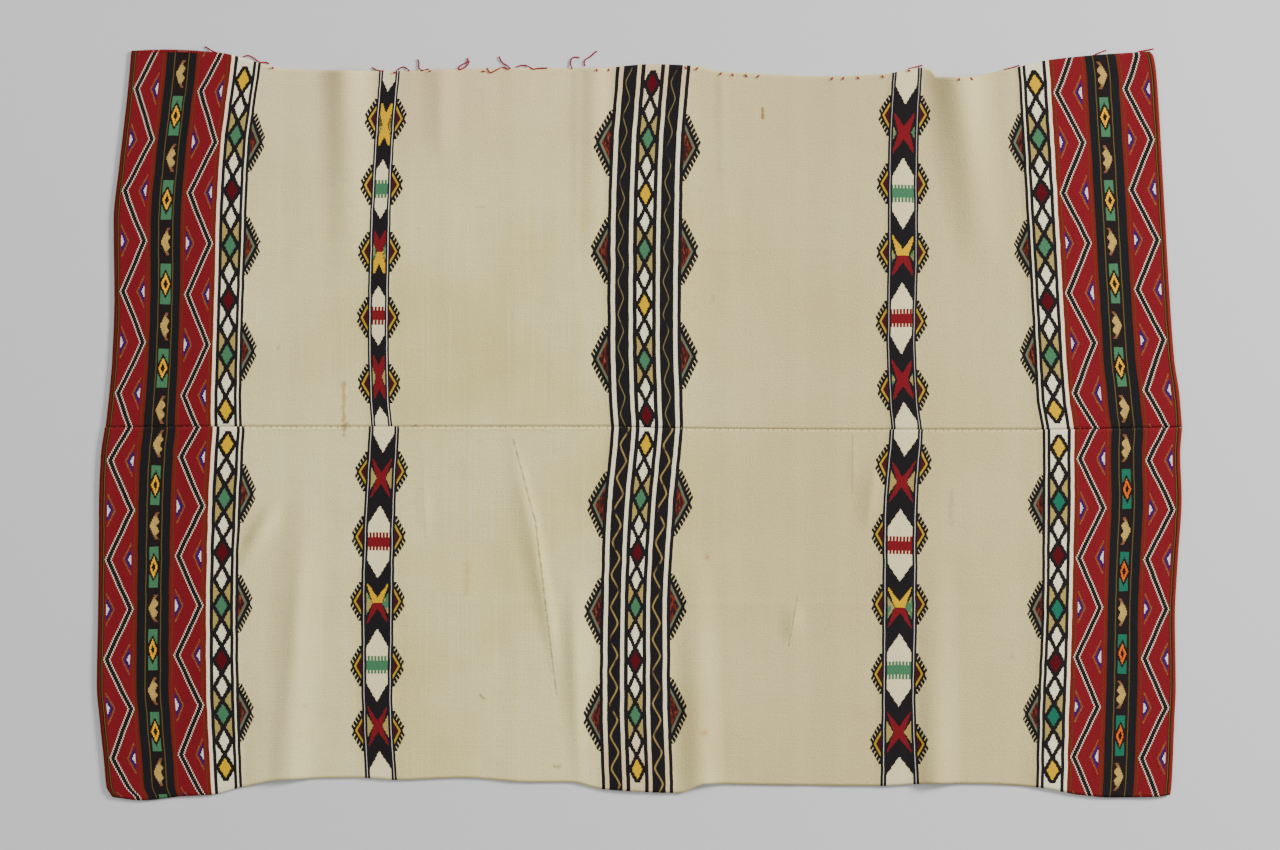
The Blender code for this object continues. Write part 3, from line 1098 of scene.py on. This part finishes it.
seam_left, seam_right = (SEAM[0][0] + END_MARGIN) * MM, (SEAM[-1][0] - END_MARGIN) * MM
stitches = []
for stitch in range(int((seam_right - seam_left) / STITCH_PITCH)):
    along = seam_left + stitch * STITCH_PITCH + STITCH_WANDER * math.sin(stitch * 2.4)
    reach = STITCH_REACH * (1 + 0.2 * math.sin(stitch * 1.9))
    join = edge_at(SEAM, along)
    run = []
    for share, rise in STITCH_SHAPE:
        place = along + share * reach * STITCH_SLANT
        height = join + share * reach
        run.append((place, height, cloth_top(place, height) + rise * STITCH_THREAD))
    stitches.append(run)
# Between the borders the thread also runs on along the join, down between the two edges
run = []
for step in range(int((GROUND_RUN[1] - GROUND_RUN[0]) / GROUND_STEP)):
    along = (GROUND_RUN[0] + GROUND_STEP * step) * MM
    join = edge_at(SEAM, along)
    run.append((along, join, cloth_top(along, join) - STITCH_THREAD * 0.8))
stitches.append(run)
seam_sewing = thread_piece(
    "seam_sewing", stitches, STITCH_THREAD,
    thread_wool("cream_thread", dye(204, 186, 140), dye(166, 146, 108)),
)
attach(seam_sewing, "root")

# THE RED THREAD
# Twisted madder wool left in the upper edge where something was once sewn on: a run of
# whipping over the left border, loose tails that lie on the surface, and cut stubs.

RED_THREAD = 1.8 * MM
# Loose tails: the points that each one passes, along and up
TAILS = (
    ((-582, 507), (-577, 504), (-571, 500), (-565, 498)),
    ((-531, 493), (-527, 495), (-523, 495), (-517, 492), (-512, 488), (-508, 485), (-504, 486),
     (-500, 486), (-496, 484)),
    ((-358, 479), (-354, 476), (-348, 474), (-342, 474)),
    ((-324, 475), (-320, 479), (-315, 480), (-311, 477), (-308, 474)),
    ((-297, 490), (-295, 486), (-296, 480), (-294, 476), (-291, 474), (-286, 476), (-282, 477)),
    ((-282, 473), (-279, 474)),
    ((-230, 492), (-229, 486), (-238, 483), (-243, 478), (-242, 475), (-236, 477), (-229, 483),
     (-228, 488)),
    ((-204, 478), (-202, 473), (-199, 471), (-192, 475), (-185, 479), (-178, 478), (-175, 476)),
    ((-188, 494), (-186, 488), (-182, 484), (-176, 481), (-173, 477)),
    ((-211, 474), (-207, 473)),
    ((-165, 479), (-160, 482), (-152, 482), (-147, 479), (-142, 476), (-135, 478), (-123, 478)),
    ((-90, 477), (-93, 483), (-92, 489), (-88, 494), (-80, 492)),
    ((-73, 481), (-75, 486), (-71, 491), (-67, 492), (-62, 497), (-57, 501)),
    ((360, 477), (369, 479), (379, 482)),
    ((488, 476), (499, 478), (509, 482)),
    ((610, 496), (617, 499), (625, 502)),
    ((668, 500), (679, 502), (689, 504)),
)
STUB_PLACES = (-57, -41, 62, 77, 109, 125, 143, 159, 258, 273, 293, 326, 427, 444)
STUB_SLANT = 1.5 * MM
KNOT_PLACES = (-491, -328, 361)
KNOT_POINTS = 9
KNOT_HALF_WIDTH = 1.3 * MM
KNOT_HALF_HEIGHT = 1.0 * MM
KNOT_RISE = 0.12 * MM
WHIPPING = (-670, -588)
WHIPPING_PITCH = 3.4


def resting(along, height):
    """A point of thread that lies on the cloth, or on the surface past the cloth's edge."""
    edge = edge_at(UPPER_EDGE, along)
    on_cloth = np.clip((edge - height) / (2 * MM) + 1, 0, 1)
    base = cloth_top(along, min(height, edge)) * on_cloth
    return (along, height, base + RED_THREAD * 0.45)


red_runs = [[resting(along * MM, height * MM) for along, height in tail] for tail in TAILS]
for along in STUB_PLACES:
    along = along * MM
    edge = edge_at(UPPER_EDGE, along)
    slant = STUB_SLANT * math.sin(along / MM)
    red_runs.append([
        resting(along - slant, edge - 5 * MM), resting(along, edge - 3 * MM),
        resting(along + slant, edge - 1.5 * MM),
    ])
for along in KNOT_PLACES:
    along = along * MM
    middle = edge_at(UPPER_EDGE, along) - 2 * MM
    knot = []
    for turn in range(KNOT_POINTS):
        angle = turn * 1.9
        place = along + KNOT_HALF_WIDTH * math.cos(angle)
        height = middle + KNOT_HALF_HEIGHT * math.sin(angle)
        knot.append((place, height, resting(place, height)[2] + turn * KNOT_RISE))
    red_runs.append(knot)
for step in range(int((WHIPPING[1] - WHIPPING[0]) / WHIPPING_PITCH)):
    along = (WHIPPING[0] + WHIPPING_PITCH * step) * MM
    edge = edge_at(UPPER_EDGE, along)
    red_runs.append([
        resting(along, edge - 3.2 * MM), resting(along + MM, edge - 1.4 * MM),
        resting(along + 2 * MM, edge + 0.3 * MM),
    ])
red_thread = thread_piece(
    "red_thread", red_runs, RED_THREAD,
    thread_wool("red_thread_wool", dye(160, 10, 32), dye(112, 8, 24)),
)
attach(red_thread, "root")

# THE SURFACE, THE LIGHT AND THE CAMERA
# The blanket lies on a plain pale surface, lit by large soft lights and seen from above.

bpy.ops.object.select_all(action="DESELECT")
bpy.ops.mesh.primitive_plane_add(size=9)
floor = bpy.context.object
floor.name = "floor"
paper = bpy.data.materials.new("pale_surface")
paper.use_nodes = True
matt = paper.node_tree.nodes["Principled BSDF"]
matt.inputs["Base Color"].default_value = dye(204, 204, 204)
matt.inputs["Roughness"].default_value = 0.9
floor.data.materials.append(paper)


def soft_light(name, place, size, power):
    """A large square studio light that faces the middle of the blanket."""
    light = bpy.data.lights.new(name, "AREA")
    light.size = size
    light.energy = power
    lamp = bpy.data.objects.new(name, light)
    bpy.context.scene.collection.objects.link(lamp)
    lamp.location = place
    lamp.rotation_euler = (
        math.atan2(math.hypot(place[0], place[1]), place[2]), 0, math.atan2(place[0], -place[1])
    )


soft_light("key_light", (5.3, 2.4, 2.3), 1.5, 850)
soft_light("fill_light", (-2.6, 1.8, 3.4), 3.0, 55)
soft_light("top_light", (0.2, -0.6, 4.2), 3.0, 45)
world = bpy.data.worlds.new("studio")
world.use_nodes = True
world.node_tree.nodes["Background"].inputs["Color"].default_value = (0.97, 0.98, 1.0, 1)
world.node_tree.nodes["Background"].inputs["Strength"].default_value = 0.36
bpy.context.scene.world = world

# The camera looks straight down, far enough back that the blanket isn't distorted
PICTURE_WIDTH = 1.715
LENS = 85
SENSOR = 36
CAMERA_ALONG = 0.7 * MM
camera_data = bpy.data.cameras.new("camera")
camera_data.lens = LENS
camera_data.sensor_width = SENSOR
camera = bpy.data.objects.new("camera", camera_data)
bpy.context.scene.collection.objects.link(camera)
camera.location = (CAMERA_ALONG, 0, PICTURE_WIDTH * LENS / SENSOR)
bpy.context.scene.camera = camera
